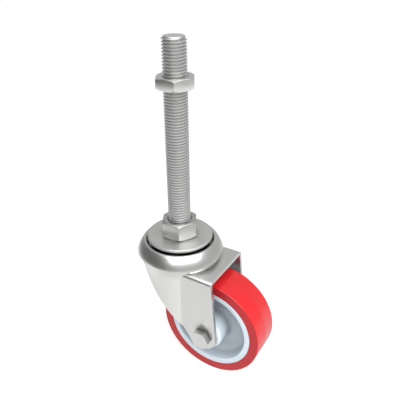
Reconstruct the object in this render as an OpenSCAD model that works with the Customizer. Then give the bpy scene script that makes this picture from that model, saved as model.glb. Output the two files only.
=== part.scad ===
// Swivel castor with a long threaded stem.
// The swivel axis is Z and the cover disc's top face is at z = 0.
// The wheel trails towards +X and turns about an axle that runs along Y.

/* [Stem and nuts] */
// Thread diameter of the stem
stem_d = 16; // [10:1:20]
// Height of the stem's end above the cover disc
stem_reach = 140; // [90:1:200]
// Chamfer on the stem's end
stem_chamfer = 1.5; // [0.5:0.1:2.5]
// Pitch of the stem's thread
thread_pitch = 2; // [1.25:0.25:2.5]
// Width across flats of the nuts and of the stem's head
nut_af = 24; // [21:0.5:27]
// Height of the stem's head
stem_head_h = 10; // [6:0.5:11]
// Diameter of the round faces of nuts and heads, as a share of their width across flats
hex_face_share = 0.96; // [0.9:0.01:0.98]
// Height of the full nut that clamps the head to the stem
clamp_nut_h = 13; // [9:0.5:16]
// Height of the thin lock nut
lock_nut_h = 8; // [6:0.5:12]
// Distance from the stem's end down to the lock nut's underside
lock_nut_drop = 32; // [12:1:60]
// Depth of the countersinks in the nuts' bores
nut_sink = 1.1; // [0.5:0.1:1.5]
// Radial clearance of the lock nut on the stem
nut_clearance = 0.06; // [0.02:0.01:0.1]

/* [Cover disc and sleeve] */
// Diameter of the cover disc
disc_d = 48; // [44:0.5:52]
// Thickness of the cover disc
disc_t = 2.4; // [1.5:0.1:3.5]
// Edge rounding of the cover disc
disc_edge_r = 0.8; // [0.3:0.1:1]
// Wall of the hollow rivet round the stem
sleeve_wall = 2.9; // [2:0.1:3]
// Clearance of the stem in the hollow rivet
sleeve_clearance = 0.1; // [0.05:0.05:0.3]
// Diameter of the rivet's rolled foot
sleeve_foot_d = 28; // [25:0.5:29]
// Thickness of the rivet's rolled foot
sleeve_foot_t = 1.5; // [1:0.1:2]

/* [Ball races] */
// Diameter of the balls in both rows
ball_d = 5; // [4:0.1:5.2]
// Gap between each ball and its races
ball_gap = 0.2; // [0.1:0.05:0.3]
// Distance between the balls of a row, in ball diameters
ball_spacing = 1.12; // [1.05:0.01:1.4]
// Pitch diameter of the upper row of balls
upper_pitch_d = 39; // [36:0.5:40]
// Pitch diameter of the lower row of balls
lower_pitch_d = 33; // [31:0.5:34]
// Depth of the ball grooves
groove_depth = 1; // [0.6:0.1:1.2]
// Outer diameter of the upper race ring
upper_race_d = 45; // [44.5:0.1:46.5]
// Thickness of the upper race ring
upper_race_t = 4; // [3:0.1:4.6]
// Thickness of the lower race cup
lower_race_t = 2.5; // [2:0.1:3]
// Outer diameter of the lower race cup
lower_race_d = 42; // [40:0.5:46]
// Wall of the lower race cup's rim
lower_rim_t = 1.2; // [0.8:0.1:2]
// Height of the lower race cup's rim
lower_rim_h = 2.2; // [1:0.1:2.6]

/* [Collar] */
// Inner diameter of the collar's lip
collar_lip_d = 48.6; // [47.6:0.1:50]
// Drop of the collar's foot below the cover disc's top
collar_foot_drop = 13; // [12:0.1:14]
// Outer diameter of the collar's foot
collar_foot_d = 64; // [63:0.2:66]
// Radius of the collar's bulge, in its section
collar_bulge_r = 20.3; // [18:0.1:24]
// Slope of the bulge at the collar's foot
collar_foot_slope = 76.6; // [74:0.2:80]
// Slope of the bulge where the lip starts to roll in
collar_lip_slope = 46.6; // [44:0.2:50]
// Height of the collar's wall round the cover disc
collar_lip_h = 1; // [0.5:0.1:1.5]

/* [Fork] */
// Sheet thickness of the fork
fork_t = 2.5; // [2:0.1:2.8]
// Outer width of the fork over its legs
fork_w = 47.2; // [45:0.2:50]
// Outer diameter of the fork's neck and front apron
neck_d = 57.4; // [55:0.2:58]
// Drop of the fork's flat top plate below the cover disc's top
plate_drop = 16.8; // [16:0.1:19]
// Distance of the top plate's rear edge from the swivel axis
plate_rear = 39.1; // [36:0.1:43]
// Outer radius of the folds between the top plate and the legs
fold_r = 3; // [2.9:0.1:5]
// Outer radius of the neck's shoulder
shoulder_r = 3; // [2.9:0.1:4]
// Radius at the foot of the neck, on the top plate
neck_foot_r = 1.6; // [0.5:0.1:2]
// Radius of the lug round the axle
lug_r = 11.5; // [10:0.1:15]
// Distance of the lug's centre in front of the axle
lug_shift = 0.75; // [0:0.05:1.5]
// Slope of the legs' front edge
apron_slope = 54.5; // [48:0.5:60]
// Drop of the apron's front edge below the cover disc's top
apron_drop = 20.4; // [20:0.1:26]
// Radius where the apron's front edge turns down into the legs
apron_corner_r = 6; // [2:0.5:12]
// Diameter of the hole in the fork's head round the hollow rivet
head_hole_d = 24.4; // [24:0.1:26]

/* [Wheel] */
// Horizontal distance of the axle from the swivel axis
trail = 32.5; // [30:0.5:38]
// Drop of the axle below the cover disc's top
axle_drop = 67.3; // [66:0.5:80]
// Diameter of the wheel over its tread
wheel_d = 80; // [70:0.5:81]
// Width of the tread
tread_w = 26.4; // [20:0.2:30]
// Thickness of the tyre
tyre_t = 6.9; // [4:0.1:9]
// Small chamfer on the tread's edges
tread_chamfer = 0.5; // [0.2:0.1:1.5]
// Thickness of the rim under the tyre
rim_t = 4.2; // [3:0.1:6]
// Draft of the rim's inside, towards the web
rim_draft = 1.4; // [0:0.1:2]
// Thickness of the web
web_t = 5; // [3:0.1:8]
// Radius of the fillets at both ends of the web
web_fillet_r = 4; // [1:0.1:5]
// Diameter of the hub at its ends
hub_d = 26; // [23:0.2:28]
// Room between each end of the hub and the leg beside it
hub_play = 0.8; // [0.7:0.05:1.2]
// Chamfer on the hub's ends
hub_chamfer = 1.4; // [0.5:0.1:2]

/* [Axle and bearing] */
// Thread diameter of the axle bolt
axle_d = 8; // [6:0.5:8.5]
// Clearance of the axle bolt in its holes
axle_clearance = 0.12; // [0.05:0.01:0.3]
// Width across flats of the axle bolt's head and nut
axle_af = 13; // [12:0.5:17]
// Height of the axle bolt's head
axle_head_h = 5.3; // [4:0.1:7]
// Length of the axle bolt under its head
axle_len = 60; // [59:0.5:66]
// Chamfer on the axle bolt's end
axle_tip = 0.8; // [0.3:0.1:1.2]
// Height of the hexagon of the axle's lock nut
axle_nut_h = 6; // [5:0.1:7]
// Height of the lock nut's round top, which holds the insert
axle_nut_top = 2; // [1.5:0.1:2.5]
// Wall of the nylon insert in the lock nut
insert_wall = 1.3; // [1:0.1:1.5]
// Thickness of the washer under the nut
washer_t = 1.6; // [1:0.1:2]
// Diameter of the washer under the nut
washer_d = 16; // [15:0.5:22]
// Wall of the tube on the axle bolt
tube_wall = 1.9; // [1.5:0.1:2]
// Diameter of the bearing rollers
roller_d = 2.8; // [2:0.1:3]
// Gap between the rollers and what they touch
roller_gap = 0.12; // [0.08:0.01:0.2]
// Length of the bearing rollers
roller_len = 30; // [20:0.5:33]
// Number of bearing rollers
roller_n = 10; // [6:1:10]
// Thickness of the thrust washers
thrust_t = 0.6; // [0.4:0.05:0.7]

/* [Hidden] */
$fn = 96;
// Overlap that makes a cut pass clean through a face
eps = 1;
// Gap between faces that are pressed or clamped together
seat_gap = 0.02;
// Gap between the collar and the curved shoulder that it sits on
collar_seat = 0.1;
// How far a countersink's wide end stands out of its face
sink_proud = 0.01;
steel = "silver";
zinc = "gainsboro";
nylon = "lightsteelblue";

stem_r = stem_d / 2;
// Basic metric profile of the stem's thread: depth, crest flat and root flat
thread_depth = 0.6134 * thread_pitch;
thread_crest = thread_pitch / 8;
thread_root = thread_pitch / 4;
sleeve_bore_r = stem_r + sleeve_clearance;
sleeve_r = sleeve_bore_r + sleeve_wall;
ball_r = ball_d / 2;
race_groove_r = ball_r + ball_gap;

// Levels of the swivel head, from the cover disc down
upper_race_z = -disc_t - upper_race_t;
upper_ball_z = upper_race_z + groove_depth - race_groove_r;
head_top_z = upper_ball_z - race_groove_r + groove_depth;
head_under_z = head_top_z - fork_t;
lower_ball_z = head_under_z + groove_depth - race_groove_r;
lower_race_z = lower_ball_z - race_groove_r + groove_depth;
lower_race_foot_z = lower_race_z - lower_race_t;
sleeve_foot_z = lower_race_foot_z - sleeve_foot_t;

neck_r = neck_d / 2;
leg_y = fork_w / 2;
leg_inner_y = leg_y - fork_t;
axle_r = axle_d / 2;
axle_hole_r = axle_r + axle_clearance;
tube_r = axle_hole_r + tube_wall;
roller_pitch_r = tube_r + roller_gap + roller_d / 2;
hub_bore_r = roller_pitch_r + roller_d / 2 + roller_gap;
wheel_r = wheel_d / 2;
rim_r = wheel_r - tyre_t;
rim_inner_r = rim_r - rim_t;
axle_at = [trail, -axle_drop];
lug_at = axle_at - [lug_shift, 0];
hub_len = 2 * (leg_inner_y - hub_play);
insert_r = axle_r + insert_wall;

// Points of an arc about c, from angle a0 to a1
function arc(c, r, a0, a1, n = 8) =
  [for (i = [0:n]) c + r * [cos(a0 + (a1 - a0) * i / n), sin(a0 + (a1 - a0) * i / n)]];

// Point where the line from p touches the circle at c on its right-hand side
function touch(p, c, r) =
  let (d = norm(p - c), along = atan2(p[1] - c[1], p[0] - c[0]), turn = acos(r / d))
  c + r * [cos(along - turn), sin(along - turn)];

// Turns a part that is drawn about Z so that it runs along the axle
module on_axle() {
  translate([trail, 0, -axle_drop]) rotate([-90, 0, 0]) children();
}

// Hexagon with both faces chamfered, or only the upper one
module hex_body(af, h, both = true) {
  corner_r = af / sqrt(3);
  wide_r = corner_r + eps;
  face_r = af / 2 * hex_face_share;
  fall = (wide_r - face_r) * tan(30);
  intersection() {
    cylinder(r = corner_r, h = h, $fn = 6);
    rotate_extrude() polygon([
      [0, 0], [both ? face_r : wide_r, 0], [wide_r, both ? fall : 0], [wide_r, h - fall],
      [face_r, h], [0, h]
    ]);
  }
}

// Nut with a bore that is countersunk at both ends
module nut(af, h, bore_r, sink) {
  difference() {
    hex_body(af, h);
    translate([0, 0, -eps]) cylinder(r = bore_r, h = h + 2 * eps);
    translate([0, 0, -sink_proud]) cylinder(r1 = bore_r + sink, r2 = bore_r, h = sink);
    translate([0, 0, h - sink + sink_proud]) cylinder(r1 = bore_r, r2 = bore_r + sink, h = sink);
  }
}

module tube(r_out, r_in, z0, z1) {
  translate([0, 0, z0]) difference() {
    cylinder(r = r_out, h = z1 - z0);
    translate([0, 0, -eps]) cylinder(r = r_in, h = z1 - z0 + 2 * eps);
  }
}

// Ring groove of the ball rows
module ball_groove(pitch_d, z) {
  translate([0, 0, z]) rotate_extrude() translate([pitch_d / 2, 0]) circle(r = race_groove_r, $fn = 48);
}

module ball_row(pitch_d, z) {
  count = floor(PI * pitch_d / (ball_d * ball_spacing));
  for (i = [0:count - 1])
    rotate([0, 0, i * 360 / count]) translate([pitch_d / 2, 0, z]) sphere(r = ball_r, $fn = 32);
}

// Edge of a threaded rod in its section, for a number of turns that end at height z1.
// Each turn is drawn as a plain ring with the thread's profile, without its lead.
function thread_edge(r, z1, turns) =
  let (flank = (thread_pitch - thread_crest - thread_root) / 2, root_r = r - thread_depth)
  [for (i = [turns:-1:1]) let (z = z1 - i * thread_pitch) each [
    [r, z], [root_r, z + flank], [root_r, z + flank + thread_root], [r, z + thread_pitch - thread_crest]
  ]];

// Long bolt that is the stem: its head is under the swivel head, inside the fork
module stem_bolt() {
  foot_z = sleeve_foot_z - eps;
  thread_z = stem_reach - stem_chamfer;
  turns = floor((thread_z - sleeve_foot_z) / thread_pitch);
  color(steel) {
    translate([0, 0, sleeve_foot_z - seat_gap]) mirror([0, 0, 1]) hex_body(nut_af, stem_head_h, false);
    rotate_extrude() polygon(concat(
      [[0, foot_z], [stem_r, foot_z]],
      thread_edge(stem_r, thread_z, turns),
      [[stem_r, thread_z], [stem_r - stem_chamfer, stem_reach], [0, stem_reach]]
    ));
  }
}

module clamp_nut() {
  color(steel) translate([0, 0, seat_gap]) nut(nut_af, clamp_nut_h, stem_r + nut_clearance, nut_sink);
}

module lock_nut() {
  color(steel) translate([0, 0, stem_reach - lock_nut_drop]) nut(nut_af, lock_nut_h, stem_r + nut_clearance, nut_sink);
}

module cover_disc() {
  r = disc_d / 2;
  e = disc_edge_r;
  color(zinc) difference() {
    rotate_extrude() polygon(concat(
      [[0, -disc_t]],
      arc([r - e, -disc_t + e], e, -90, 0, 5),
      arc([r - e, -e], e, 0, 90, 5),
      [[0, 0]]
    ));
    translate([0, 0, -disc_t - eps]) cylinder(r = sleeve_r + seat_gap, h = disc_t + 2 * eps);
  }
}

module upper_race() {
  color(steel) difference() {
    tube(upper_race_d / 2, sleeve_r + seat_gap, upper_race_z, -disc_t - seat_gap);
    ball_groove(upper_pitch_d, upper_ball_z);
  }
}

// Hollow rivet that holds the disc, both races and the fork's head together
module king_sleeve() {
  color(steel) difference() {
    union() {
      translate([0, 0, sleeve_foot_z]) cylinder(r = sleeve_r, h = -sleeve_foot_z);
      translate([0, 0, sleeve_foot_z]) cylinder(d = sleeve_foot_d, h = sleeve_foot_t - seat_gap);
    }
    translate([0, 0, sleeve_foot_z - eps]) cylinder(r = sleeve_bore_r, h = 2 * eps - sleeve_foot_z);
  }
}

module upper_balls() {
  color("whitesmoke") ball_row(upper_pitch_d, upper_ball_z);
}

module lower_balls() {
  color("whitesmoke") ball_row(lower_pitch_d, lower_ball_z);
}

// Pressed cup that carries the lower balls, with a raised rim that keeps them in
module lower_race() {
  color(steel) difference() {
    union() {
      translate([0, 0, lower_race_foot_z]) cylinder(d = lower_race_d, h = lower_race_t);
      tube(lower_race_d / 2, lower_race_d / 2 - lower_rim_t, lower_race_z - eps, lower_race_z + lower_rim_h);
    }
    translate([0, 0, lower_race_foot_z - eps]) cylinder(r = sleeve_r + seat_gap, h = lower_race_t + 2 * eps);
    ball_groove(lower_pitch_d, lower_ball_z);
  }
}

// Pressed ring that covers the ball rows and sits on the shoulder of the fork's neck
module collar() {
  lip_r = collar_lip_d / 2;
  foot = [collar_foot_d / 2, -collar_foot_drop];
  centre = foot - collar_bulge_r * [sin(collar_foot_slope), cos(collar_foot_slope)];
  // the lip rolls in from the bulge until its wall stands upright
  roll_r = (centre[0] + collar_bulge_r * sin(collar_lip_slope) - lip_r) / (1 + sin(collar_lip_slope));
  roll = [lip_r + roll_r, centre[1] + (collar_bulge_r - roll_r) * cos(collar_lip_slope)];
  under_z = roll[1] - collar_lip_h;
  // the inside of the bulge rests on the shoulder of the fork's neck
  shoulder = [neck_r - shoulder_r, head_top_z - shoulder_r];
  inner_r = norm(shoulder - centre) + shoulder_r + collar_seat;
  color(zinc) rotate_extrude() polygon(concat(
    [[lip_r, under_z]],
    arc(roll, roll_r, 180, 90 - collar_lip_slope, 6),
    arc(centre, collar_bulge_r, 90 - collar_lip_slope, 90 - collar_foot_slope, 6),
    arc(centre, inner_r, asin((foot[1] - centre[1]) / inner_r), asin((under_z - centre[1]) / inner_r), 5)
  ));
}

// Outline of the fork seen from the side, in the plane of X and Z
module fork_outline() {
  front_x = -neck_r - eps;
  front_z = -apron_drop;
  slope = [cos(apron_slope), -sin(apron_slope)];
  low = lug_at + lug_r * [-sin(apron_slope), -cos(apron_slope)];
  corner = low + slope * (low[1] - front_z) / sin(apron_slope);
  rear = [plate_rear, -plate_drop];
  // the void under the apron has this half angle at the corner
  half = (180 - apron_slope) / 2;
  run = apron_corner_r / tan(half);
  centre = corner + apron_corner_r / sin(half) * [cos(180 + half), sin(180 + half)];
  translate(lug_at) circle(r = lug_r);
  polygon([
    [front_x, eps], [front_x, front_z], corner, low, lug_at,
    touch(rear, lug_at, lug_r), rear, [plate_rear, eps]
  ]);
  difference() {
    polygon([corner + [-run, 0], corner + slope * run, corner + [1, 1]]);
    translate(centre) circle(r = apron_corner_r);
  }
}

// Solid inside the fork's sheet when grow is 0, and up to its outside when grow is the thickness
module fork_body(grow) {
  r = neck_r - fork_t + grow;
  y = leg_inner_y + grow;
  top = head_under_z + grow;
  plate = -plate_drop - fork_t + grow;
  bend = fold_r - fork_t + grow;
  shoulder = shoulder_r - fork_t + grow;
  low = -axle_drop - lug_r - eps;
  rotate_extrude() {
    translate([0, low]) square([r, top - shoulder - low]);
    translate([0, top - shoulder - eps]) square([r - shoulder, shoulder + eps]);
    translate([r - shoulder, top - shoulder]) circle(r = shoulder, $fn = 48);
  }
  rotate([90, 0, 90]) linear_extrude(height = plate_rear + lug_r) {
    translate([-y, low]) square([2 * y, plate - bend - low]);
    translate([bend - y, plate - bend - eps]) square([2 * (y - bend), bend + eps]);
    for (side = [-1, 1]) translate([side * (y - bend), plate - bend]) circle(r = bend, $fn = 48);
  }
}

// Rounded foot where the neck rises out of the flat top plate
module neck_foot() {
  f = neck_foot_r;
  intersection() {
    translate([0, 0, -plate_drop]) rotate_extrude() difference() {
      translate([neck_r - eps, -fork_t / 2]) square([f + eps, f + fork_t / 2]);
      translate([neck_r + f, f]) circle(r = f, $fn = 48);
    }
    translate([0, fold_r - leg_y, -plate_drop - fork_t])
      cube([plate_rear, 2 * (leg_y - fold_r), fork_t + 2 * f]);
  }
}

// Deep-drawn fork: a round head with both ball grooves, an apron in front and two legs
module fork() {
  color(zinc) difference() {
    intersection() {
      union() {
        fork_body(fork_t);
        neck_foot();
      }
      translate([0, fork_w, 0]) rotate([90, 0, 0]) linear_extrude(height = 2 * fork_w) fork_outline();
    }
    fork_body(0);
    translate([0, 0, head_under_z - eps]) cylinder(d = head_hole_d, h = fork_t + 2 * eps);
    ball_groove(upper_pitch_d, upper_ball_z);
    ball_groove(lower_pitch_d, lower_ball_z);
    on_axle() translate([0, 0, -fork_w]) cylinder(r = axle_hole_r, h = 2 * fork_w);
  }
}

// Hexagon bolt through both legs, with its head on the near leg
module axle_bolt() {
  tip = axle_tip;
  color(steel) on_axle() {
    translate([0, 0, -leg_y - seat_gap]) mirror([0, 0, 1]) hex_body(axle_af, axle_head_h, false);
    translate([0, 0, -leg_y - eps]) cylinder(r = axle_r, h = axle_len - tip + eps);
    translate([0, 0, axle_len - tip - leg_y]) cylinder(r1 = axle_r, r2 = axle_r - tip, h = tip);
  }
}

// Lock nut: a hexagon with a round top, which holds a nylon ring
module axle_nut() {
  top_r = axle_af / 2 * hex_face_share;
  color(steel) on_axle() translate([0, 0, leg_y + washer_t + 2 * seat_gap]) difference() {
    union() {
      hex_body(axle_af, axle_nut_h);
      translate([0, 0, axle_nut_h - eps]) cylinder(r = top_r, h = axle_nut_top + eps);
    }
    translate([0, 0, -eps]) cylinder(r = axle_r + seat_gap, h = axle_nut_h + axle_nut_top + 2 * eps);
    translate([0, 0, axle_nut_h]) cylinder(r = insert_r + seat_gap, h = axle_nut_top + eps);
  }
}

module nut_insert() {
  color("royalblue") on_axle()
    tube(insert_r, axle_r + seat_gap, leg_y + washer_t + axle_nut_h + 3 * seat_gap,
      leg_y + washer_t + axle_nut_h + axle_nut_top - seat_gap);
}

module axle_washer() {
  color(steel) on_axle() tube(washer_d / 2, axle_hole_r, leg_y + seat_gap, leg_y + washer_t + seat_gap);
}

// Tube that the legs are clamped against and the rollers run on
module axle_tube() {
  color(steel) on_axle() tube(tube_r, axle_hole_r, seat_gap - leg_inner_y, leg_inner_y - seat_gap);
}

module thrust_washer(side) {
  color("whitesmoke") on_axle() translate([0, 0, side * (leg_inner_y - hub_play / 2)])
    tube(hub_d / 2 - hub_chamfer, tube_r + roller_gap, -thrust_t / 2, thrust_t / 2);
}

module near_thrust_washer() {
  thrust_washer(-1);
}

module far_thrust_washer() {
  thrust_washer(1);
}

// Nylon cage that spaces the rollers
module roller_cage() {
  wall = roller_d / 3;
  half = hub_len / 2 - 1;
  pocket_w = roller_d + 2 * roller_gap;
  pocket_l = roller_len + 2 * roller_gap;
  color("dimgray") on_axle() difference() {
    tube(roller_pitch_r + wall, roller_pitch_r - wall, -half, half);
    for (i = [0:roller_n - 1])
      rotate([0, 0, i * 360 / roller_n])
        translate([roller_pitch_r - 2 * wall, -pocket_w / 2, -pocket_l / 2])
          cube([4 * wall, pocket_w, pocket_l]);
  }
}

module rollers() {
  color("whitesmoke") on_axle()
    for (i = [0:roller_n - 1])
      rotate([0, 0, i * 360 / roller_n]) translate([roller_pitch_r, 0, -roller_len / 2])
        cylinder(d = roller_d, h = roller_len, $fn = 32);
}

// Outline of one side of the wheel core's section, from the bore out to the rim
function core_side() =
  let (f = web_fillet_r, web = web_t / 2, root_r = rim_inner_r - rim_draft, hub_r = hub_d / 2,
    hub_end = hub_len / 2, rim_end = tread_w / 2)
  concat(
    [[hub_bore_r, hub_end], [hub_r - hub_chamfer, hub_end], [hub_r, hub_end - hub_chamfer]],
    arc([hub_r + f, web + f], f, 180, 270),
    arc([root_r - f, web + f], f, 270, 360),
    [[rim_inner_r, rim_end], [rim_r, rim_end]]
  );

// Moulded wheel core: rim, dished web and long hub in one piece
module wheel_core() {
  side = core_side();
  last = len(side) - 1;
  other = [for (i = [0:last]) [side[last - i][0], -side[last - i][1]]];
  color(nylon) on_axle() rotate_extrude() polygon(concat(side, other));
}

// Polyurethane tyre, moulded round the rim
module tyre() {
  half = tread_w / 2;
  c = tread_chamfer;
  color("red") on_axle() rotate_extrude() polygon([
    [rim_r, -half], [wheel_r - c, -half], [wheel_r, c - half],
    [wheel_r, half - c], [wheel_r - c, half], [rim_r, half]
  ]);
}

stem_bolt();
clamp_nut();
lock_nut();
cover_disc();
upper_race();
king_sleeve();
upper_balls();
collar();
fork();
lower_balls();
lower_race();
axle_bolt();
axle_nut();
nut_insert();
axle_washer();
axle_tube();
near_thrust_washer();
far_thrust_washer();
roller_cage();
rollers();
wheel_core();
tyre();
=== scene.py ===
"""Swivel castor with a long threaded stem: the finished look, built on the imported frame."""

import logging
import math
from dataclasses import dataclass
from enum import Enum
from functools import partial
from typing import Any

import bmesh
import bpy
from mathutils import Matrix, Vector


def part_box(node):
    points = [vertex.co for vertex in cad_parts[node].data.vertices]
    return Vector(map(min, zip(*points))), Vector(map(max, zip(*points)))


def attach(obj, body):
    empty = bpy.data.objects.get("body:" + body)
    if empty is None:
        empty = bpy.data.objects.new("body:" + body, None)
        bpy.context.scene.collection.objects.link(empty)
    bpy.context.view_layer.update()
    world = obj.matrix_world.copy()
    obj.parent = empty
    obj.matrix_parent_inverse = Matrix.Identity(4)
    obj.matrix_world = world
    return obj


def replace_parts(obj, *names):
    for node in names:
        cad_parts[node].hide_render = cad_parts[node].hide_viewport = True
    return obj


Tree = bpy.types.NodeTree
Node = bpy.types.Node
Socket = bpy.types.NodeSocket
Section = list[tuple[float, float]]

LOG = logging.getLogger("castor")
MM = 0.001

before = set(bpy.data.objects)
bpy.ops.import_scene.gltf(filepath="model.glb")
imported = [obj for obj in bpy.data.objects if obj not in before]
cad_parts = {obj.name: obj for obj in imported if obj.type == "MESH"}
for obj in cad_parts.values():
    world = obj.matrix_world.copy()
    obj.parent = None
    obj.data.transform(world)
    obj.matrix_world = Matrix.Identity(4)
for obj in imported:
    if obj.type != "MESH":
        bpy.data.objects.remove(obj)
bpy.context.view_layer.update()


def linear(colour: str) -> tuple[float, float, float, float]:
    """Turns an sRGB hex colour into the linear values that Blender works in.

    Args:
        colour: The colour as six hex digits, with or without a leading #.

    Returns:
        Red, green, blue and an alpha of 1.
    """
    digits = colour.lstrip("#")
    parts = [int(digits[i : i + 2], 16) / 255 for i in (0, 2, 4)]
    r, g, b = (c / 12.92 if c <= 0.04045 else ((c + 0.055) / 1.055) ** 2.4 for c in parts)
    return (r, g, b, 1.0)


def per_mm(size_mm: float) -> float:
    """Gives a texture's scale for features of this size, in millimetres."""
    return 1.0 / (size_mm * MM)


def add(
    tree: Tree,
    kind: str,
    settings: dict[Any, Any] | None = None,
    links: dict[Any, Socket] | None = None,
) -> Node:
    """Adds one node to a tree, with its settings and links.

    Args:
        tree: The node tree that gets the node.
        kind: Blender's name for the type of node.
        settings: Properties by name, and input values by the input's name or number.
        links: Output sockets of other nodes, by the name or number of the input they feed.

    Returns:
        The new node.
    """
    node = tree.nodes.new(kind)
    for key, value in (settings or {}).items():
        if isinstance(key, str) and key not in node.inputs:
            setattr(node, key, value)
        else:
            node.inputs[key].default_value = value
    for key, socket in (links or {}).items():
        tree.links.new(socket, node.inputs[key])
    return node


def blend(
    tree: Tree,
    share: Socket,
    low: str | float | Socket,
    high: str | float | Socket,
) -> Socket:
    """Adds a mix of two colours, each given as a hex colour, a level of grey or a socket.

    Args:
        tree: The node tree that gets the mix.
        share: How much of the second colour shows, from 0 to 1.
        low: The first colour.
        high: The second colour.

    Returns:
        The mixed colour.
    """
    settings: dict[Any, Any] = {"data_type": "RGBA"}
    links: dict[Any, Socket] = {0: share}
    for place, colour in ((6, low), (7, high)):
        if isinstance(colour, str):
            settings[place] = linear(colour)
        elif isinstance(colour, float):
            settings[place] = (colour, colour, colour, 1.0)
        else:
            links[place] = colour
    return add(tree, "ShaderNodeMix", settings, links).outputs[2]


def ramp(
    tree: Tree,
    source: Socket,
    ends: tuple[float, float] = (0.0, 1.0),
    levels: tuple[float, float] = (0.0, 1.0),
    kind: str = "LINEAR",
) -> Socket:
    """Adds a step from one level to another.

    Args:
        tree: The node tree that gets the step.
        source: The value that the level depends on.
        ends: Values between which the level changes.
        levels: The level before and after them.
        kind: Blender's name for the shape of the step.

    Returns:
        The level.
    """
    settings = {"interpolation_type": kind, "From Min": ends[0], "From Max": ends[1]}
    settings |= {"To Min": levels[0], "To Max": levels[1]}
    return add(tree, "ShaderNodeMapRange", settings, {"Value": source}).outputs["Result"]


def maths(tree: Tree, operation: str, a: Any, b: Any = None) -> Socket:
    """Adds a step of arithmetic.

    Args:
        tree: The node tree that gets the step.
        operation: Blender's name for the operation.
        a: The first value, a socket or a number.
        b: The second value, where the operation takes one.

    Returns:
        The result.
    """
    step = add(tree, "ShaderNodeMath", {"operation": operation})
    for i, value in enumerate((a, b)):
        if isinstance(value, Socket):
            tree.links.new(value, step.inputs[i])
        elif value is not None:
            step.inputs[i].default_value = value
    return step.outputs[0]


def noise(place: Node, size_mm: float, **settings: float) -> Socket:
    """Adds a cloudy pattern in the object's own coordinates.

    Args:
        place: The Texture Coordinate node of the tree.
        size_mm: Size of the pattern's patches.
        **settings: The pattern's other inputs.

    Returns:
        The pattern, from 0 to 1.
    """
    inputs = {"Scale": per_mm(size_mm)} | {key.title(): value for key, value in settings.items()}
    links = {"Vector": place.outputs["Object"]}
    return add(place.id_data, "ShaderNodeTexNoise", inputs, links).outputs["Fac"]


def open_share(tree: Tree, reach_mm: float, own: bool) -> Socket:
    """Adds the share of open room round a point, which is small in corners and dishes.

    Args:
        tree: The node tree that gets it.
        reach_mm: How far away a surface still counts.
        own: Whether only the piece's own surfaces count.

    Returns:
        The open share, from 0 to 1.
    """
    settings = {"samples": 8, "only_local": own, "Distance": reach_mm * MM}
    return add(tree, "ShaderNodeAmbientOcclusion", settings).outputs["AO"]


class Axis(Enum):
    """The two axes that round parts are turned about."""

    SWIVEL = "swivel"
    AXLE = "axle"


@dataclass(frozen=True)
class Layout:
    """Where the two axes and the floor lie in the row frame, in millimetres."""

    trail: float = 32.5
    axle_drop: float = 67.3
    wheel_r: float = 40.0

    def matrix(self, axis: Axis) -> Matrix:
        """Gives the matrix that brings a part turned about Z to its axis, in metres."""
        if axis is Axis.SWIVEL:
            return Matrix.Identity(4)
        place = Matrix.Translation((self.trail * MM, 0.0, -self.axle_drop * MM))
        return place @ Matrix.Rotation(math.radians(-90), 4, "X")

    def floor_z(self) -> float:
        """Gives the height of the floor that the wheel stands on, in metres."""
        return -(self.axle_drop + self.wheel_r) * MM


LAYOUT = Layout()


def link_mesh(name: str, mesh: bpy.types.Mesh) -> bpy.types.Object:
    """Puts a mesh into the scene as an object at the origin.

    Args:
        name: The name of the object and its mesh.
        mesh: The finished mesh.

    Returns:
        The new object.
    """
    mesh.name = name
    obj = bpy.data.objects.new(name, mesh)
    bpy.context.scene.collection.objects.link(obj)
    return obj


def shade(mesh: bpy.types.Mesh, crease_deg: float = 32.0) -> None:
    """Shades a mesh smooth, with its sharp edges kept where faces turn by more than an angle.

    Args:
        mesh: The mesh to shade.
        crease_deg: Smallest turn between two faces that stays a sharp edge.
    """
    mesh.shade_smooth()
    mesh.set_sharp_from_angle(angle=math.radians(crease_deg))


def arc(centre: tuple[float, float], r: float, a0: float, a1: float, steps: int) -> Section:
    """Gives points of an arc in a section.

    Args:
        centre: Middle of the arc.
        r: Its radius.
        a0: Start angle in degrees.
        a1: End angle in degrees.
        steps: Number of straight pieces.

    Returns:
        The points, both ends included.
    """
    angles = [math.radians(a0 + (a1 - a0) * i / steps) for i in range(steps + 1)]
    return [(centre[0] + r * math.cos(a), centre[1] + r * math.sin(a)) for a in angles]


def turned(name: str, section: Section, axis: Axis, segments: int = 180) -> bpy.types.Object:
    """Turns a closed section about an axis into a ring-shaped piece.

    Args:
        name: The name of the piece.
        section: Points of radius and height in millimetres, round the section once.
        axis: The axis that it is turned about.
        segments: Number of flats round the axis.

    Returns:
        The new object, with its faces pointing outwards.
    """
    bm = bmesh.new()
    rings = []
    for i in range(segments):
        a = math.tau * i / segments
        x, y = MM * math.cos(a), MM * math.sin(a)
        rings.append([bm.verts.new((r * x, r * y, z * MM)) for r, z in section])
    count = len(section)
    for i in range(segments):
        here, there = rings[i], rings[(i + 1) % segments]
        for j in range(count):
            k = (j + 1) % count
            bm.faces.new((here[j], there[j], there[k], here[k]))
    bmesh.ops.recalc_face_normals(bm, faces=bm.faces)
    bm.transform(LAYOUT.matrix(axis))
    mesh = bpy.data.meshes.new(name)
    bm.to_mesh(mesh)
    bm.free()
    shade(mesh)
    return link_mesh(name, mesh)


def baked(obj: bpy.types.Object) -> bpy.types.Object:
    """Turns an object with modifiers into a plain mesh and removes the modifiers."""
    graph = bpy.context.evaluated_depsgraph_get()
    mesh = bpy.data.meshes.new_from_object(obj.evaluated_get(graph))
    obj.modifiers.clear()
    old = obj.data
    obj.data = mesh
    mesh.name = obj.name
    bpy.data.meshes.remove(old)
    return obj


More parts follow.
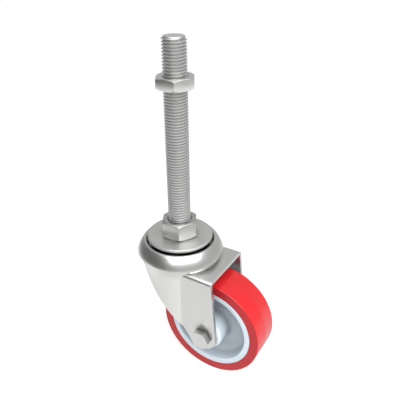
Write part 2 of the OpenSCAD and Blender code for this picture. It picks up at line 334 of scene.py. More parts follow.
def softened(
    node: str, name: str, edge_mm: float, steps: int = 2, crease_deg: float = 28.0
) -> bpy.types.Object:
    """Copies a CAD node and rounds its edges over, as forging, pressing or tumbling leaves them.

    Args:
        node: The CAD node to copy.
        name: The name of the new piece.
        edge_mm: Width of the rounding.
        steps: Number of faces across it.
        crease_deg: Smallest turn between two faces that gets rounded.

    Returns:
        The new object, which stands for the node.
    """
    bm = bmesh.new()
    bm.from_mesh(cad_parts[node].data)
    bmesh.ops.remove_doubles(bm, verts=bm.verts, dist=2e-6)
    bmesh.ops.dissolve_limit(bm, angle_limit=math.radians(0.4), verts=bm.verts, edges=bm.edges)
    mesh = bpy.data.meshes.new(name)
    bm.to_mesh(mesh)
    bm.free()
    obj = link_mesh(name, mesh)
    bevel = obj.modifiers.new("edge", "BEVEL")
    bevel.width = edge_mm * MM
    bevel.segments = steps
    bevel.limit_method = "ANGLE"
    bevel.angle_limit = math.radians(crease_deg)
    bevel.use_clamp_overlap = True
    baked(obj)
    shade(obj.data)
    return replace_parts(obj, node)


@dataclass(frozen=True)
class Finish:
    """What every finish has: a name and the record's slot that it belongs to."""

    name: str
    slot: str

    def start(self) -> tuple[Tree, Node, Node]:
        """Makes the material with its shader.

        Returns:
            The node tree, the Principled shader and the Texture Coordinate node.
        """
        material = bpy.data.materials.new(self.name)
        material.use_nodes = True
        tree = material.node_tree
        tree.nodes.clear()
        shader = add(tree, "ShaderNodeBsdfPrincipled")
        add(tree, "ShaderNodeOutputMaterial", links={"Surface": shader.outputs[0]})
        return tree, shader, add(tree, "ShaderNodeTexCoord")

    def layers(self) -> tuple[Tree, Node, Socket, Socket]:
        """Finds the nodes of the material built so far, for a film or a tint on top of it.

        Returns:
            The node tree, the shader, the point's own coordinates and the colour so far.
        """
        tree = bpy.data.materials[self.name].node_tree
        shader = next(n for n in tree.nodes if n.type == "BSDF_PRINCIPLED")
        place = next(n for n in tree.nodes if n.type == "TEX_COORD")
        colour = shader.inputs["Base Color"].links[0].from_socket
        return tree, shader, place.outputs["Object"], colour

    def skin(
        self,
        place: Node,
        shader: Node,
        cloud: Socket,
        colours: tuple[str, str],
        gloss: tuple[float, float],
        grain: tuple[float, float, float],
    ) -> None:
        """Varies colour and roughness with a slow pattern, and adds a fine grain as bump.

        Args:
            place: The Texture Coordinate node.
            shader: The shader.
            cloud: The slow pattern.
            colours: The colours that it moves between.
            gloss: The roughness that it moves between.
            grain: Size and depth of the grain in millimetres, and its detail.
        """
        tree = shader.id_data
        size, depth, detail = grain
        height = noise(place, size, detail=detail)
        settings = {"Strength": 1.0, "Distance": depth * MM}
        bump = add(tree, "ShaderNodeBump", settings, {"Height": height})
        tree.links.new(blend(tree, cloud, *colours), shader.inputs["Base Color"])
        tree.links.new(ramp(tree, cloud, levels=gloss), shader.inputs["Roughness"])
        tree.links.new(bump.outputs["Normal"], shader.inputs["Normal"])

    def material(self) -> bpy.types.Material:
        """Gives the finished material, made once."""
        if self.name not in bpy.data.materials:
            self.build()
        return bpy.data.materials[self.name]

    def build(self) -> None:
        """Builds the material's nodes."""
        raise NotImplementedError


@dataclass(frozen=True)
class Steel(Finish):
    """Steel with a thin bright plating: satin, faintly mottled, with a fine drawn grain."""

    light: str
    dark: str
    roughness: float = 0.3
    spread: float = 0.06
    mottle_mm: float = 9.0
    grain: tuple[float, float, float] = (0.5, 0.004, 2.0)

    def build(self) -> None:
        """Mottles colour and roughness slowly, and adds a fine grain as bump."""
        _, shader, place = self.start()
        shader.inputs["Metallic"].default_value = 1.0
        cloud = noise(place, self.mottle_mm, detail=3.0, roughness=0.55)
        gloss = (self.roughness - self.spread, self.roughness + self.spread)
        self.skin(place, shader, cloud, (self.dark, self.light), gloss, self.grain)


@dataclass(frozen=True)
class RolledThread(Steel):
    """Plated steel with a rolled thread, whose grooves are darker: partly a real film of oil and
    dust, partly painted shade at the thread's root.
    """

    film_mm: tuple[float, float] = (6.9, 7.75)
    head_mm: float = 6.7
    # Colour at the thread's root: a real oil film together with painted shade
    oil_and_shade: str = "C2C2C1"

    def build(self) -> None:
        """Darkens the plating towards the root of the thread, by distance from the stem's axis, as
        oil and painted shade.
        """
        super().build()
        tree, shader, spot, plating = self.layers()
        flat = add(tree, "ShaderNodeVectorMath", {"operation": "MULTIPLY", 1: (1, 1, 0)}, {0: spot})
        span = add(tree, "ShaderNodeVectorMath", {"operation": "LENGTH"}, {0: flat.outputs[0]})
        radius = span.outputs["Value"]
        # Painted shade and a real oil film, darker towards the thread's root
        rise = ramp(tree, radius, (self.film_mm[0] * MM, self.film_mm[1] * MM))
        # The flat end and the middle of the head lie inside the root's radius and get neither the
        # oil nor the painted shade
        inside = maths(tree, "LESS_THAN", radius, self.head_mm * MM)
        unshaded = maths(tree, "MAXIMUM", rise, inside)
        tree.links.new(blend(tree, unshaded, self.oil_and_shade, plating), shader.inputs["Base Color"])


@dataclass(frozen=True)
class DrawnSheet(Steel):
    """Plated sheet whose drawn apron is painted brighter than the flat legs, up to a crisp border:
    painted light for how the light falls on the apron.
    """

    # Colour of the painted light on the apron
    painted_apron_light: str = "F4F4F2"
    leg_mm: float = 15.0
    front_mm: float = -6.0
    plate_mm: tuple[float, float] = (-18.0, -22.0)

    def build(self) -> None:
        """Paints light on the apron, brighter towards the edge of the legs, and not on the plate
        above it.
        """
        super().build()
        tree, shader, spot, plating = self.layers()
        along, _, height = add(tree, "ShaderNodeSeparateXYZ", {}, {0: spot}).outputs
        # Painted light on the apron, rising towards the edge of the legs
        apron_light_share = ramp(tree, along, (self.front_mm * MM, self.leg_mm * MM))
        apron = maths(tree, "LESS_THAN", along, self.leg_mm * MM)
        below = ramp(tree, height, (self.plate_mm[0] * MM, self.plate_mm[1] * MM))
        share = maths(tree, "MULTIPLY", maths(tree, "MULTIPLY", apron_light_share, apron), below)
        tree.links.new(blend(tree, share, plating, self.painted_apron_light), shader.inputs["Base Color"])


@dataclass(frozen=True)
class CornerShade(Steel):
    """Plated steel with painted shade in the corner where it stands on another part."""

    # Colour of the painted shade in the corner
    corner_shade: str = "55534F"
    reach_mm: float = 6.0
    unshaded_share: tuple[float, float] = (0.45, 0.95)

    def build(self) -> None:
        """Paints shade where other surfaces stand close round a point."""
        super().build()
        tree, shader, _, plating = self.layers()
        # Painted shade: darker where other parts close in round a point
        unshaded = ramp(tree, open_share(tree, self.reach_mm, False), self.unshaded_share)
        tree.links.new(blend(tree, unshaded, self.corner_shade, plating), shader.inputs["Base Color"])


@dataclass(frozen=True)
class Moulding(Finish):
    """Moulded plastic: an even colour with a faint flow pattern and a very fine skin texture."""

    light: str
    dark: str
    roughness: float
    flow_mm: float = 14.0
    spread: tuple[float, float] = (0.04, 0.05)
    grain: tuple[float, float, float] = (0.6, 0.006, 1.0)
    subsurface: float = 0.0
    depth_mm: float = 1.0
    coat: float = 0.0
    coat_roughness: float = 0.12

    def build(self) -> None:
        """Adds the flow pattern to colour and roughness, and the skin as bump."""
        _, shader, place = self.start()
        shader.inputs["Subsurface Weight"].default_value = self.subsurface
        shader.inputs["Subsurface Scale"].default_value = self.depth_mm * MM
        shader.inputs["Coat Weight"].default_value = self.coat
        shader.inputs["Coat Roughness"].default_value = self.coat_roughness
        flow = noise(place, self.flow_mm, detail=2.0, distortion=0.6)
        gloss = (self.roughness - self.spread[0], self.roughness + self.spread[1])
        self.skin(place, shader, flow, (self.dark, self.light), gloss, self.grain)


@dataclass(frozen=True)
class ShadedMoulding(Moulding):
    """Moulded plastic with painted shade where it is recessed."""

    # Colour of the painted shade in the dish
    dish_shade: str = "9AA2A8"
    reach_mm: float = 25.0
    unshaded_share: tuple[float, float] = (0.25, 0.9)

    def build(self) -> None:
        """Paints shade where the piece's own walls stand round a point."""
        super().build()
        tree, shader, _, nylon = self.layers()
        # Painted shade: darker in the dish, where the piece's own walls close in
        unshaded = ramp(tree, open_share(tree, self.reach_mm, True), self.unshaded_share)
        tree.links.new(blend(tree, unshaded, self.dish_shade, nylon), shader.inputs["Base Color"])


@dataclass(frozen=True)
class CastTyre(Moulding):
    """Cast polyurethane tyre: a tread skived clean, and sides with the mould's duller skin, whose
    darker red is painted shade.
    """

    # Darker red of the sides: painted shade
    side: str = "C2242A"
    side_mm: tuple[float, float] = (12.85, 13.05)

    def build(self) -> None:
        """Paints the sides a darker red as shade, and dulls them, by their distance from the middle
        of the tread.
        """
        super().build()
        tree, shader, spot, tread = self.layers()
        across = add(tree, "ShaderNodeSeparateXYZ", {}, {0: spot}).outputs["Y"]
        off = maths(tree, "ABSOLUTE", across)
        sides = ramp(tree, off, (self.side_mm[0] * MM, self.side_mm[1] * MM))
        # Painted shade: the sides darker than the tread
        tree.links.new(blend(tree, sides, tread, self.side), shader.inputs["Base Color"])
        tree.links.new(ramp(tree, sides, levels=(self.coat, 0.0)), shader.inputs["Coat Weight"])


# Bright zinc on the pressed collar: a soft satin shine with broad even reflections
PRESSED_SHEET = Steel(
    "bright_zinc_pressed_sheet",
    "sheet_steel",
    light="E0E0DE",
    dark="D8D8D6",
    roughness=0.3,
    spread=0.03,
)
# The same plating on the fork, with painted light on the apron: it stands for the brighter upright
# border where the apron meets the flat leg
DRAWN_FORK = DrawnSheet(
    "bright_zinc_drawn_fork",
    "sheet_steel",
    light="E6E6E4",
    dark="DEDEDC",
    roughness=0.31,
    spread=0.03,
)
# The same plating on the blanked disc, which came out of the drum a little duller
BLANKED_DISC = Steel(
    "bright_zinc_blanked_disc",
    "sheet_steel",
    light="DADAD8",
    dark="D0D0CE",
    roughness=0.5,
    spread=0.04,
)
# Bright zinc on forged and machined fasteners: more mottled than the sheet
FASTENER = Steel(
    "bright_zinc_fastener_steel",
    "stem_steel",
    light="E6E6E4",
    dark="DCDCD9",
    spread=0.04,
    mottle_mm=4.0,
)
# The same plating on the axle bolt, with painted shade in the corner under its head
AXLE_BOLT = CornerShade(
    "bright_zinc_axle_bolt",
    "stem_steel",
    light="E6E6E4",
    dark="DCDCD9",
    spread=0.04,
    mottle_mm=4.0,
)
# The nut that the equipment rests on: the plating is rubbed a little darker and duller
RUBBED_NUT = Steel(
    "bright_zinc_rubbed_nut",
    "stem_steel",
    light="CECECC",
    dark="C4C4C2",
    roughness=0.36,
    spread=0.04,
    mottle_mm=4.0,
)
# The same plating on a rolled thread, duller, and dark in the grooves with oil and painted shade
STEM_THREAD = RolledThread(
    "bright_zinc_rolled_thread",
    "stem_steel",
    light="E8E8E8",
    dark="DBDBDB",
    roughness=0.4,
    spread=0.04,
    mottle_mm=4.0,
)
# Hardened bearing steel under a film of grease: darker and smoother
GREASED = Steel(
    "greased_hardened_steel", "race_steel", light="8C8C8E", dark="6F6F72", roughness=0.24
)
# Ground and polished bearing balls and rollers
POLISHED = Steel(
    "polished_ball_steel",
    "ball_steel",
    light="D8D8DA",
    dark="CCCCCF",
    roughness=0.1,
    spread=0.02,
)
# Injection-moulded nylon of the wheel core, pale blue-grey, with painted shade in its dish
CORE_NYLON = ShadedMoulding(
    "moulded_nylon_pale_blue", "core_nylon", light="E7F3FC", dark="DDEAF4", roughness=0.46
)
# Cast polyurethane: a deep clear red with a smooth tread, which lets light a little way in
RED_POLYURETHANE = CastTyre(
    "cast_polyurethane_red",
    "red_polyurethane",
    light="E2262C",
    dark="D81F26",
    roughness=0.3,
    subsurface=0.1,
    depth_mm=1.5,
    coat=0.35,
)
# Carbon-black nylon of the roller cage
BLACK_NYLON = Moulding(
    "black_nylon", "dark_nylon", light="2A2B2D", dark="202123", roughness=0.5
)
# Natural nylon of the thrust washers and of the ring that locks the nut on the axle bolt
NATURAL_NYLON = Moulding(
    "natural_nylon_insert", "insert_nylon", light="E6EAF0", dark="DCE1E8", roughness=0.45
)


def dress(obj: bpy.types.Object, finish: Finish, body: str | None = None) -> bpy.types.Object:
    """Gives a piece its finish and, if it is a new one, the body that it rides on.

    Args:
        obj: A new piece or a CAD node.
        finish: Its finish.
        body: The CAD body that carries a new piece, or None for a CAD node.

    Returns:
        The piece.
    """
    obj.data.materials.clear()
    obj.data.materials.append(finish.material())
    if body is not None:
        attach(obj, body)
    LOG.info("%s: %s", obj.name, finish.name)
    return obj


def dress_nodes(finish: Finish, *nodes: str) -> None:
    """Gives CAD nodes that stay as they are their finish."""
    for node in nodes:
        dress(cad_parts[node], finish)


@dataclass
class ThreadTree:
    """Geometry Nodes tree that makes a threaded rod with chamfered ends."""

    name: str = "threaded_rod"
    weld_mm: float = 0.004
    sizes: tuple[str, ...] = ("Crest Radius", "Root Radius", "Pitch", "Start", "End", "Chamfer")
    # Basic profile of a metric thread: crest flat an eighth of the pitch, root flat a quarter
    rise: tuple[tuple[float, float], ...] = (
        (0, 0),
        (0.2, 1 / 16),
        (0.4, 3 / 8),
        (0.6, 5 / 8),
        (0.8, 15 / 16),
        (1, 1),
    )
    crest: tuple[tuple[float, float], ...] = (
        (0, 1),
        (0.2, 1),
        (0.4, 0),
        (0.6, 0),
        (0.8, 1),
        (1, 1),
    )

    def profile(
        self, tree: Tree, across: Socket, levels: tuple[tuple[float, float], ...]
    ) -> Socket:
        """Adds a broken line that maps the place across one pitch.

        Args:
            tree: The tree that gets the node.
            across: Place across the pitch, from 0 to 1.
            levels: Points of the broken line.

        Returns:
            The mapped value.
        """
        line = add(tree, "ShaderNodeFloatCurve", {}, {"Value": across})
        curve = line.mapping.curves[0]
        for x, y in levels[1:-1]:
            curve.points.new(x, y)
        curve.points[0].location = levels[0]
        curve.points[-1].location = levels[-1]
        for point in curve.points:
            point.handle_type = "VECTOR"
        line.mapping.update()
        return line.outputs["Value"]

    def build(self) -> Tree:
        """Builds the tree with its named inputs.

        Returns:
            The finished tree.
        """
        tree = bpy.data.node_groups.new(self.name, "GeometryNodeTree")
        sockets = tree.interface
        for size in self.sizes:
            sockets.new_socket(size, in_out="INPUT", socket_type="NodeSocketFloat")
        sockets.new_socket("Segments", in_out="INPUT", socket_type="NodeSocketInt")
        sockets.new_socket("Finish", in_out="INPUT", socket_type="NodeSocketMaterial")
        sockets.new_socket("Rod", in_out="OUTPUT", socket_type="NodeSocketGeometry")
        given = add(tree, "NodeGroupInput").outputs
        sums = partial(maths, tree)

        # A flat grid: one column of points for each step round the rod, and six across the pitch
        length = sums("SUBTRACT", given["End"], given["Start"])
        turns = sums("CEIL", sums("ADD", sums("DIVIDE", length, given["Pitch"]), 1.0))
        steps = sums("MULTIPLY", turns, given["Segments"])
        grid = add(
            tree,
            "GeometryNodeMeshGrid",
            {"Size Y": 1.0, "Vertices Y": 6},
            {"Size X": steps, "Vertices X": sums("ADD", steps, 1.0)},
        )
        position = add(tree, "GeometryNodeInputPosition")
        spot = add(tree, "ShaderNodeSeparateXYZ", {}, {0: position.outputs[0]})
        step = sums("ADD", spot.outputs["X"], sums("MULTIPLY", steps, 0.5))
        across = sums("ADD", spot.outputs["Y"], 0.5)
        turn = sums("DIVIDE", step, given["Segments"])
        angle = sums("MULTIPLY", turn, math.tau)
        rise = self.profile(tree, across, self.rise)
        crest = self.profile(tree, across, self.crest)
        along = sums("SUBTRACT", sums("ADD", turn, rise), 1.0)
        free_z = sums("ADD", given["Start"], sums("MULTIPLY", along, given["Pitch"]))
        z = sums("MAXIMUM", sums("MINIMUM", free_z, given["End"]), given["Start"])
        tooth = sums("SUBTRACT", given["Crest Radius"], given["Root Radius"])
        free_r = sums("ADD", given["Root Radius"], sums("MULTIPLY", tooth, crest))
        tip_r = sums("SUBTRACT", given["Crest Radius"], given["Chamfer"])
        to_top, to_foot = sums("SUBTRACT", given["End"], z), sums("SUBTRACT", z, given["Start"])
        from_end = sums("MINIMUM", to_top, to_foot)
        r = sums("MINIMUM", free_r, sums("ADD", tip_r, from_end))
        x, y = (sums("MULTIPLY", r, sums(part, angle)) for part in ("COSINE", "SINE"))
        place = add(tree, "ShaderNodeCombineXYZ", {}, {0: x, 1: y, 2: z})
        flank = add(
            tree,
            "GeometryNodeSetPosition",
            {},
            {"Geometry": grid.outputs["Mesh"], "Position": place.outputs[0]},
        )
        ends = []
        for level, upside_down in ((given["End"], False), (given["Start"], True)):
            cap = add(
                tree,
                "GeometryNodeMeshCircle",
                {"fill_type": "TRIANGLE_FAN"},
                {"Vertices": given["Segments"], "Radius": tip_r},
            )
            lift = add(tree, "ShaderNodeCombineXYZ", {}, {2: level})
            moved = add(
                tree,
                "GeometryNodeSetPosition",
                {},
                {"Geometry": cap.outputs["Mesh"], "Offset": lift.outputs[0]},
            )
            end = moved.outputs[0]
            if upside_down:
                end = add(tree, "GeometryNodeFlipFaces", {}, {"Mesh": end}).outputs[0]
            ends.append(end)
        joined = add(tree, "GeometryNodeJoinGeometry")
        for part in (flank.outputs[0], *ends):
            tree.links.new(part, joined.inputs[0])
        merged = add(
            tree,
            "GeometryNodeMergeByDistance",
            {"Distance": self.weld_mm * MM},
            {"Geometry": joined.outputs[0]},
        )
        real = add(tree, "GeometryNodeRealizeInstances", {}, {"Geometry": merged.outputs[0]})
        dressed = add(
            tree,
            "GeometryNodeSetMaterial",
            {},
            {"Geometry": real.outputs[0], "Material": given["Finish"]},
        )
        add(tree, "NodeGroupOutput", {}, {0: dressed.outputs[0]})
        return tree


@dataclass
class ThreadedRod:
    """One threaded rod that is made with the thread's tree, about its own axis."""

    name: str
    crest_d: float
    pitch: float
    start: float
    end: float
    chamfer: float
    axis: Axis
    segments: int
    depth_share: float = 0.6134

    def make(self, tree: Tree, finish: Finish) -> bpy.types.Object:
        """Runs the tree and keeps its result as a plain mesh in the row frame.

        Args:
            tree: The thread's tree.
            finish: Finish of the rod.

        Returns:
            The new object.
        """
        obj = link_mesh(self.name, bpy.data.meshes.new(self.name))
        modifier = obj.modifiers.new("thread", "NODES")
        modifier.node_group = tree
        crest = self.crest_d / 2
        values = {
            "Crest Radius": crest * MM,
            "Root Radius": (crest - self.depth_share * self.pitch) * MM,
            "Pitch": self.pitch * MM,
            "Start": self.start * MM,
            "End": self.end * MM,
            "Chamfer": self.chamfer * MM,
            "Segments": self.segments,
            "Finish": finish.material(),
        }
        for item in tree.interface.items_tree:
            if item.in_out == "INPUT":
                modifier[item.identifier] = values[item.name]
        baked(obj)
        obj.data.transform(LAYOUT.matrix(self.axis))
        shade(obj.data, 25.0)
        return obj


def joined(name: str, *parts: bpy.types.Object) -> bpy.types.Object:
    """Makes one piece of several meshes that belong to one solid part.

    Args:
        name: The name of the piece.
        *parts: The objects that it is made of, which go away.

    Returns:
        The new object.
    """
    bm = bmesh.new()
    for part in parts:
        bm.from_mesh(part.data)
    mesh = bpy.data.meshes.new(name)
    bm.to_mesh(mesh)
    bm.free()
    for part in parts:
        bpy.data.objects.remove(part)
    shade(mesh, 25.0)
    return link_mesh(name, mesh)


def hexagon(
    name: str, af: float, low: float, high: float, axis: Axis, face: float
) -> bpy.types.Object:
    """Makes a hexagon head whose outer face is chamfered round, with its edges softened.

    Args:
        name: The name of the piece.
        af: Width across flats.
        low: Height of the outer, chamfered face along the axis.
        high: Height of the face under the head.
        axis: The axis that the head is on.
        face: Diameter of the round outer face, as a share of the width across flats.

    Returns:
        The new object.
    """
    fall = math.copysign(math.tan(math.radians(30)), high - low)
    steps = 16
    count = 6 * steps
    bm = bmesh.new()
    columns = []
    for i in range(count):
        a = math.tau * i / count
        flat_r = af / 2 / math.cos(math.radians((i % steps) / steps * 60 - 30))
        face_r = min(flat_r, af / 2 * face)
        # Down one column: middle of the outer face, its rim, the flat's upper end, the back
        outline = (
            (0.0, low),
            (face_r, low),
            (flat_r, low + fall * (flat_r - face_r)),
            (flat_r, high),
            (0.0, high),
        )
        x, y = MM * math.cos(a), MM * math.sin(a)
        columns.append([bm.verts.new((r * x, r * y, z * MM)) for r, z in outline])
    for i, here in enumerate(columns):
        there = columns[(i + 1) % count]
        for j in range(len(here) - 1):
            bm.faces.new((here[j], there[j], there[j + 1], here[j + 1]))
    bmesh.ops.remove_doubles(bm, verts=bm.verts, dist=1e-7)
    bmesh.ops.recalc_face_normals(bm, faces=bm.faces)
    bm.transform(LAYOUT.matrix(axis))
    mesh = bpy.data.meshes.new(name)
    bm.to_mesh(mesh)
    bm.free()
    shade(mesh, 25.0)
    return link_mesh(name, mesh)


@dataclass
class Stem:
    """The long threaded stem with its head and the two nuts on it."""

    d: float = 16.0
    pitch: float = 2.0
    reach: float = 140.0
    chamfer: float = 1.5
    segments: int = 56
    head_top: float = -19.7
    head_af: float = 24.0
    head_face: float = 0.96
    overlap: float = 1.0
    nut_edge: float = 0.25

    def build(self, thread: Tree) -> None:
        """Builds the stem and both nuts and sends them with their bodies."""
        low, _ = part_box("stem_bolt")
        rod = ThreadedRod(
            "stem_rod",
            self.d,
            self.pitch,
            self.head_top - self.overlap,
            self.reach,
            self.chamfer,
            Axis.SWIVEL,
            self.segments,
        ).make(thread, STEM_THREAD)
        head = hexagon(
            "stem_head", self.head_af, low.z / MM, self.head_top, Axis.SWIVEL, self.head_face
        )
        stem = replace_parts(joined("threaded_stem", rod, head), "stem_bolt")
        dress(stem, STEM_THREAD, "stem")
        dress(softened("clamp_nut", "clamp_nut_finished", self.nut_edge), RUBBED_NUT, "stem")
        dress(softened("lock_nut", "lock_nut_finished", self.nut_edge), FASTENER, "lock_nut")


@dataclass
class SwivelHead:
    """The cover disc, the collar and the ball races inside them."""

    disc_edge: float = 0.1
    sheet_edge: float = 0.35

    def build(self) -> None:
        """Dresses the races and rounds over the edges of the disc and the collar."""
        disc = softened("cover_disc", "cover_disc_finished", self.disc_edge)
        collar = softened("collar", "collar_finished", self.sheet_edge, 3)
        dress(disc, BLANKED_DISC, "stem")
        dress(collar, PRESSED_SHEET, "swivel_fork")
        dress_nodes(GREASED, "upper_race", "king_sleeve", "lower_race")
        dress_nodes(POLISHED, "upper_balls", "lower_balls")


@dataclass
class ForkSheet:
    """The deep-drawn fork."""

    edge: float = 0.4
    crease_deg: float = 40.0

    def build(self) -> None:
        """Rounds over the sheared edges of the sheet."""
        fork = softened("fork", "fork_pressed", self.edge, 3, self.crease_deg)
        dress(fork, DRAWN_FORK, "swivel_fork")


@dataclass
class Axle:
    """The axle bolt with its head, thread, lock nut and washers."""

    d: float = 8.0
    pitch: float = 1.25
    chamfer: float = 0.8
    segments: int = 40
    af: float = 13.0
    head_h: float = 5.3
    head_face: float = 1.09
    leg_y: float = 23.6
    seat_gap: float = 0.02
    overlap: float = 1.0
    length: float = 60.0
    nut_edge: float = 0.2

    def build(self, thread: Tree) -> None:
        """Builds the bolt and dresses what is on it."""
        rod = ThreadedRod(
            "axle_rod",
            self.d,
            self.pitch,
            -self.leg_y - self.overlap,
            self.length - self.leg_y,
            self.chamfer,
            Axis.AXLE,
            self.segments,
        ).make(thread, AXLE_BOLT)
        under = -self.leg_y - self.seat_gap
        head = hexagon(
            "axle_head", self.af, under - self.head_h, under, Axis.AXLE, self.head_face
        )
        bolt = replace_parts(joined("axle_bolt_finished", rod, head), "axle_bolt")
        dress(bolt, AXLE_BOLT, "swivel_fork")
        for node in ("axle_nut", "axle_washer"):
            dress(softened(node, f"{node}_finished", self.nut_edge), FASTENER, "swivel_fork")
        dress_nodes(NATURAL_NYLON, "nut_insert", "near_thrust_washer", "far_thrust_washer")
        dress_nodes(GREASED, "axle_tube")
        dress_nodes(BLACK_NYLON, "roller_cage")
        dress_nodes(POLISHED, "rollers")


@dataclass
class Wheel:
    """The moulded core and the polyurethane tyre on it."""

    wheel_r: float = LAYOUT.wheel_r
    tread_w: float = 26.4
    tyre_t: float = 6.9
    tread_edge_r: float = 0.7
    seam_h: float = 0.05
    seam_w: float = 0.7
    core_edge: float = 0.4
    core_crease_deg: float = 20.0

    def tyre_section(self) -> Section:
        """Gives the tyre's section, with softly rounded tread edges and a faint parting line.

        Returns:
            Points of radius and height along the axle.
        """
        half, r, e = self.tread_w / 2, self.wheel_r - self.seam_h, self.tread_edge_r
        inner = self.wheel_r - self.tyre_t
        tread = arc((r - e, half - e), e, 90, 0, 5)
        seam = [(r, self.seam_w / 2), (self.wheel_r, 0.0), (r, -self.seam_w / 2)]
        other = arc((r - e, e - half), e, 0, -90, 5)
        return [(inner, half)] + tread + seam + other + [(inner, -half)]

    def build(self) -> None:
        """Builds the tyre and rounds over the core's edges."""
        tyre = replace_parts(turned("tyre_cast", self.tyre_section(), Axis.AXLE), "tyre")
        dress(tyre, RED_POLYURETHANE, "wheel")
        core = softened(
            "wheel_core", "wheel_core_moulded", self.core_edge, 3, self.core_crease_deg
        )
        dress(core, CORE_NYLON, "wheel")


@dataclass(frozen=True)
class SoftBox:
    """One soft light that faces the object.

    Attributes:
        name: The name of the lamp.
        azimuth: Where it stands, in degrees from the camera's own side, counted to its right.
        height: Its angle above the horizon, in degrees.
        distance: Its distance from the object, in metres.
        size: Its width and height, in metres.
        watts: Its power.
        mirrored: Whether shiny surfaces mirror it.
    """

    name: str
    azimuth: float
    height: float
    distance: float
    size: tuple[float, float]
    watts: float
    mirrored: bool

    def place(self, camera_yaw: float) -> None:
        """Puts the light into the scene.

        Args:
            camera_yaw: The direction that the camera looks in, in degrees.
        """
        light = bpy.data.lights.new(self.name, "AREA")
        light.shape = "RECTANGLE"
        light.size, light.size_y = self.size
        light.energy = self.watts
        lamp = bpy.data.objects.new(self.name, light)
        bpy.context.scene.collection.objects.link(lamp)
        around, up = math.radians(camera_yaw + self.azimuth), math.radians(self.height)
        flat = Vector((math.sin(around), -math.cos(around), 0.0))
        back = flat * math.cos(up) + Vector((0.0, 0.0, math.sin(up)))
        lamp.location = back * self.distance
        lamp.rotation_mode = "QUATERNION"
        lamp.rotation_quaternion = back.to_track_quat("Z", "Y")
        lamp.visible_glossy = self.mirrored


@dataclass(frozen=True)
class Room:
    """The plain room that the object stands in: levels of light, by where a ray looks.

    Attributes:
        dark_side: Side that is open and dark, in degrees from the camera's own side.
        turn: Range of how squarely a ray looks to the dark side, over which the levels change.
        wall: Level of the walls, away from the dark side and towards it.
        ground: Level of what lies below, likewise.
        horizon: Range of a ray's rise, over which the ground gives way to the wall.
        zenith: Range of a ray's rise, over which the wall gives way to the ceiling.
        ceiling: Level of the ceiling.
        fill: Even level that lights dull surfaces.
    """

    dark_side: float = -80.0
    turn: tuple[float, float] = (0.1, 1.0)
    wall: tuple[float, float] = (0.52, 0.14)
    ground: tuple[float, float] = (1.15, 0.85)
    horizon: tuple[float, float] = (-0.45, -0.15)
    zenith: tuple[float, float] = (0.7, 1.0)
    ceiling: float = 0.95
    fill: float = 0.11

    def build(self, camera_yaw: float) -> None:
        """Makes the world: white to the camera, a plain soft room to the object.

        Args:
            camera_yaw: The direction that the camera looks in, in degrees.
        """
        world = bpy.data.worlds.new("studio")
        bpy.context.scene.world = world
        world.use_nodes = True
        tree = world.node_tree
        tree.nodes.clear()
        way = add(tree, "ShaderNodeTexCoord").outputs["Generated"]
        # The dark side gives the round steel parts their dark edge
        around = math.radians(camera_yaw + self.dark_side)
        dark = (math.sin(around), -math.cos(around), 0.0)
        square = {"operation": "DOT_PRODUCT", 1: dark}
        facing = add(tree, "ShaderNodeVectorMath", square, {0: way}).outputs["Value"]
        height = add(tree, "ShaderNodeSeparateXYZ", {}, {0: way}).outputs["Z"]
        wall = ramp(tree, facing, self.turn, self.wall, "SMOOTHSTEP")
        ground = ramp(tree, facing, self.turn, self.ground, "SMOOTHSTEP")
        raised = ramp(tree, height, self.horizon, kind="SMOOTHSTEP")
        high = ramp(tree, height, self.zenith, kind="SMOOTHSTEP")
        room = blend(tree, high, blend(tree, raised, ground, wall), self.ceiling)
        rays = add(tree, "ShaderNodeLightPath").outputs
        seen = blend(tree, rays["Is Glossy Ray"], self.fill, room)
        shown = blend(tree, rays["Is Camera Ray"], seen, 1.0)
        light = add(tree, "ShaderNodeBackground", {"Strength": 1.0}, {"Color": shown})
        add(tree, "ShaderNodeOutputWorld", {}, {"Surface": light.outputs[0]})


@dataclass(frozen=True)
class Floor:
    """The plain pale floor, which is white to the camera apart from a soft shadow.

    Attributes:
        half: Half its width, in metres.
        paper: Its colour.
        paper_mirrored: Its colour as the steel shows it.
        left: Direction along the floor in which it gets brighter in the steel.
        brighter: Distances in that direction between which it does, in metres.
        shine: Its own light in the steel, before and after them.
        glow: Its own light to the camera.
    """

    half: float = 0.32
    paper: str = "D2D2D2"
    paper_mirrored: str = "B4B4B4"
    left: tuple[float, float, float] = (-0.98, -0.2, 0.0)
    brighter: tuple[float, float] = (0.09, 0.14)
    shine: tuple[float, float] = (0.35, 0.62)
    glow: float = 0.62

    def build(self) -> None:
        mesh = bpy.data.meshes.new("floor")
        around = ((-1, -1), (1, -1), (1, 1), (-1, 1))
        corners = [(x * self.half, y * self.half, LAYOUT.floor_z()) for x, y in around]
        mesh.from_pydata(corners, [], [(0, 1, 2, 3)])
        floor = link_mesh("floor", mesh)
        material = bpy.data.materials.new("pale_floor")
        material.use_nodes = True
        tree = material.node_tree
        tree.nodes.clear()
        rays = add(tree, "ShaderNodeLightPath").outputs
        tint = blend(tree, rays["Is Glossy Ray"], self.paper, self.paper_mirrored)
        paper = add(tree, "ShaderNodeBsdfDiffuse", {}, {"Color": tint})
        place = add(tree, "ShaderNodeTexCoord").outputs["Object"]
        along = {"operation": "DOT_PRODUCT", 1: self.left}
        side = add(tree, "ShaderNodeVectorMath", along, {0: place}).outputs["Value"]
        # In the steel it is brighter at the far left, as under a light that stands there
        shine = ramp(tree, side, self.brighter, self.shine)
        mirrored = maths(tree, "MULTIPLY", rays["Is Glossy Ray"], shine)
        shown = maths(tree, "MULTIPLY", rays["Is Camera Ray"], self.glow)
        strength = maths(tree, "ADD", mirrored, shown)
        glow = add(tree, "ShaderNodeEmission", {"Color": (1, 1, 1, 1)}, {"Strength": strength})
        both = add(tree, "ShaderNodeAddShader", {}, {0: paper.outputs[0], 1: glow.outputs[0]})
        add(tree, "ShaderNodeOutputMaterial", {}, {"Surface": both.outputs[0]})
        mesh.materials.append(material)


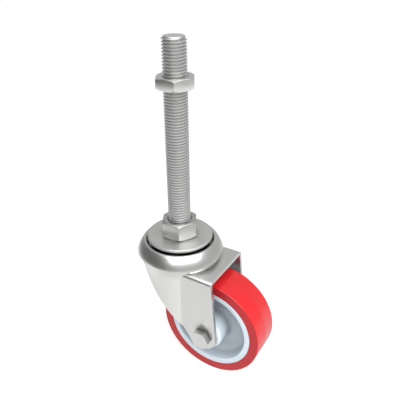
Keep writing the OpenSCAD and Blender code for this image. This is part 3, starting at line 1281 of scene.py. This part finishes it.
@dataclass(frozen=True)
class Studio:
    """The camera, the lights, the room and the floor."""

    eye: tuple[float, float, float] = (169.5, -254.8, 193.1)
    yaw: float = 30.838
    pitch: float = 28.514
    roll: float = -0.529
    focal_px: float = 488.856
    picture_px: float = 400.0
    boxes: tuple[SoftBox, ...] = (
        SoftBox("soft_box_high", 16.0, 52.0, 0.9, (1.3, 0.8), 10.8, True),
        SoftBox("soft_box_right", 60.0, 8.0, 1.0, (0.7, 0.7), 5.0, False),
        SoftBox("soft_box_left", -75.0, 30.0, 1.0, (0.7, 0.7), 3.9, False),
    )

    def camera(self) -> None:
        """Sets the camera where the photograph was taken from."""
        y, p, r = (math.radians(a) for a in (self.yaw, self.pitch, self.roll))
        ahead = Vector((-math.sin(y) * math.cos(p), math.cos(y) * math.cos(p), -math.sin(p)))
        right = Vector((math.cos(y), math.sin(y), 0))
        up = right.cross(ahead)
        rolled_right = right * math.cos(r) + up * math.sin(r)
        rolled_up = up * math.cos(r) - right * math.sin(r)
        turn = Matrix((rolled_right, rolled_up, -ahead)).transposed().to_4x4()
        lens = bpy.data.cameras.new("photo_camera")
        lens.sensor_width = 36.0
        lens.lens = self.focal_px / self.picture_px * lens.sensor_width
        lens.clip_start, lens.clip_end = 0.01, 20.0
        camera = bpy.data.objects.new("photo_camera", lens)
        bpy.context.scene.collection.objects.link(camera)
        camera.matrix_world = Matrix.Translation(Vector(self.eye) * MM) @ turn
        bpy.context.scene.camera = camera

    def build(self) -> None:
        """Sets up the camera, the room, the lights and the floor."""
        self.camera()
        Room().build(self.yaw)
        for box in self.boxes:
            box.place(self.yaw)
        Floor().build()
        bpy.context.scene.view_settings.view_transform = "Standard"


def main() -> None:
    """Builds the castor from the stem down and sets it in the studio."""
    logging.basicConfig(level=logging.INFO, format="%(name)s: %(message)s")
    Studio().build()
    thread = ThreadTree().build()
    Stem().build(thread)
    SwivelHead().build()
    ForkSheet().build()
    Axle().build(thread)
    Wheel().build()


if __name__ == "__main__":
    main()
